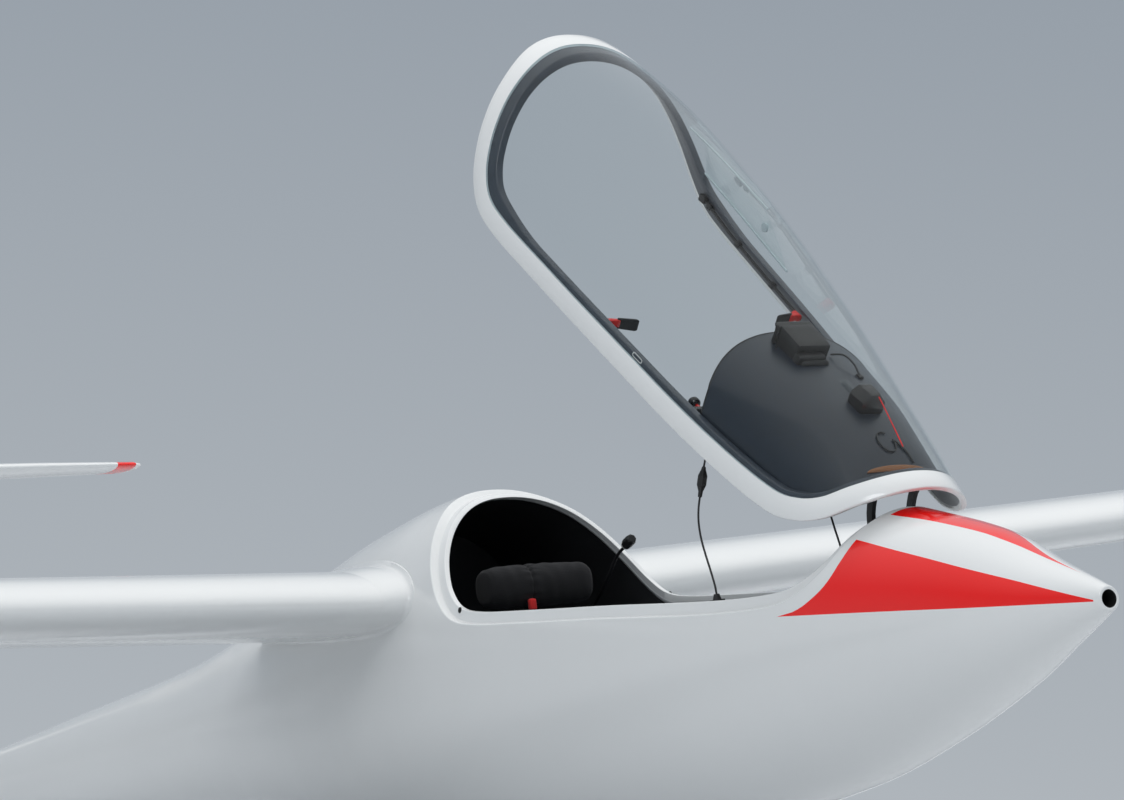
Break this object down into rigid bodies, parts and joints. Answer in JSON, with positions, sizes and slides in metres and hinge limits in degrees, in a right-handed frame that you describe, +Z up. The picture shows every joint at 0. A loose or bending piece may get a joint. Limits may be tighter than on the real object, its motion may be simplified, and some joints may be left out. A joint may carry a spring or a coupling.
{
  "type": "single-seat sailplane glider",
  "caption": "Single-seat T-tail sailplane parked on its wheels and one wing tip, canopy hinged open at the front, with working control surfaces and airbrakes.",
  "frame": {"origin": "on the ground under the middle of the whole aircraft's box, as it parks with the starboard wing tip down", "axes": "+X forward along the aircraft's plan centre line, +Y to port, +Z up; the airframe sits 5.65 degrees nose up and 8.61 degrees starboard wing down"},
  "size_m": [6.8874, 14.8356, 2.3078],
  "materials": {
    "gelcoat": "polished white gelcoat with red panels",
    "acrylic": "clear blown acrylic",
    "dark_laminate": "satin blue-grey laminate",
    "black_plastic": "matt black",
    "black_cloth": "black woven upholstery",
    "tyre_rubber": "worn rubber",
    "bare_aluminium": "brushed",
    "painted_steel": "grey painted steel",
    "red_plastic": "red moulded plastic",
    "red_wool": "red wool yarn",
    "cable_sheath": "black flexible sheath"
  },
  "bodies": {
    "airframe": {"fuselage": "gelcoat", "tail_boom": "gelcoat", "fin": "gelcoat", "tailplane": "gelcoat", "wing_right": "gelcoat", "wing_left": "gelcoat", "tip_skid_right": "black_plastic", "tip_skid_left": "black_plastic", "gear_door_right": "gelcoat", "gear_door_left": "gelcoat", "arm_rest_right": "black_plastic", "arm_rest_left": "black_plastic", "gear_frame": "painted_steel", "main_axle": "painted_steel", "tail_wheel_mount": "gelcoat", "seat_pan": "dark_laminate", "seat_cushion": "black_cloth", "back_cushion": "black_cloth", "headrest": "black_cloth", "rear_bulkhead": "black_plastic", "control_stick": "black_plastic", "rudder_pedals": "bare_aluminium", "microphone": "black_plastic", "hinge_bracket": "painted_steel", "cable_socket": "black_plastic", "cable_block": "black_plastic", "tow_hook": "painted_steel", "canopy_lead": "cable_sheath", "panel_lead": "cable_sheath"},
    "canopy": {"canopy_frame": "gelcoat", "canopy_inner_frame": "dark_laminate", "canopy_glass": "acrylic", "canopy_latch_right": "black_plastic", "canopy_latch_left": "black_plastic", "hinge_arm_right": "black_plastic", "hinge_arm_left": "black_plastic", "glareshield": "dark_laminate", "instrument_panel": "black_plastic", "flight_display": "black_plastic", "compass": "black_plastic", "release_knob": "red_plastic", "side_window": "acrylic", "yaw_string": "red_wool", "cable_connector": "black_plastic"},
    "main_wheel": {"main_hub": "bare_aluminium", "main_tyre": "tyre_rubber"},
    "tail_wheel": {"tail_hub": "bare_aluminium", "tail_tyre": "tyre_rubber"},
    "rudder": {"rudder": "gelcoat"},
    "elevator": {"elevator": "gelcoat"},
    "flap_right": {"flap_right": "gelcoat"},
    "flap_left": {"flap_left": "gelcoat"},
    "aileron_right": {"aileron_right": "gelcoat"},
    "aileron_left": {"aileron_left": "gelcoat"},
    "airbrake_right": {"airbrake_right": "bare_aluminium"},
    "airbrake_left": {"airbrake_left": "bare_aluminium"}
  },
  "joints": [
    {"name": "canopy_hinge", "type": "hinge", "parent": "airframe", "child": "canopy", "pos_m": [2.9205, 0.03628, 0.92559], "axis": [0, 0.9887, 0.1497], "range_deg": [-37.9, 0], "deforming": ["canopy_lead", "panel_lead"]},
    {"name": "main_wheel_spin", "type": "hinge", "parent": "airframe", "child": "main_wheel", "pos_m": [1.04286, 0.14954, 0.17758], "axis": [0, -0.9887, -0.1497], "continuous": true},
    {"name": "tail_wheel_spin", "type": "hinge", "parent": "airframe", "child": "tail_wheel", "pos_m": [-2.7523, 0.16212, 0.09448], "axis": [0, -0.9887, -0.1497], "continuous": true},
    {"name": "rudder_hinge", "type": "hinge", "parent": "airframe", "child": "rudder", "pos_m": [-2.99281, 0.16312, 0.08785], "axis": [-0.1712, -0.1475, 0.9741], "range_deg": [-30, 30]},
    {"name": "elevator_hinge", "type": "hinge", "parent": "airframe", "child": "elevator", "pos_m": [-3.32825, -0.01755, 1.28108], "axis": [0, -0.9887, -0.1497], "range_deg": [-25, 20]},
    {"name": "flap_right_hinge", "type": "hinge", "parent": "airframe", "child": "flap_right", "pos_m": [0.48573, -0.32479, 0.73188], "axis": [0.0152, -0.995, -0.0984], "range_deg": [-7, 15]},
    {"name": "flap_left_hinge", "type": "hinge", "parent": "airframe", "child": "flap_left", "pos_m": [0.48573, 0.43851, 0.84745], "axis": [-0.0152, -0.9796, -0.2006], "range_deg": [-7, 15]},
    {"name": "aileron_right_hinge", "type": "hinge", "parent": "airframe", "child": "aileron_right", "pos_m": [0.55032, -4.53987, 0.31493], "axis": [0.0287, -0.9948, -0.0981], "range_deg": [-20, 20]},
    {"name": "aileron_left_hinge", "type": "hinge", "parent": "airframe", "child": "aileron_left", "pos_m": [0.55032, 4.58808, 1.69704], "axis": [-0.0287, -0.9792, -0.2008], "range_deg": [-20, 20]},
    {"name": "airbrake_right_slide", "type": "slide", "parent": "airframe", "child": "airbrake_right", "axis": [-0.0983, -0.0987, 0.9902], "range_m": [0, 0.07]},
    {"name": "airbrake_left_slide", "type": "slide", "parent": "airframe", "child": "airbrake_left", "axis": [-0.0983, -0.1989, 0.9751], "range_m": [0, 0.07]}
  ],
  "couplings": [
    {"joint": "flap_left_hinge", "follows": "flap_right_hinge", "ratio": 1},
    {"joint": "aileron_left_hinge", "follows": "aileron_right_hinge", "ratio": -1},
    {"joint": "airbrake_left_slide", "follows": "airbrake_right_slide", "ratio": 1}
  ]
}
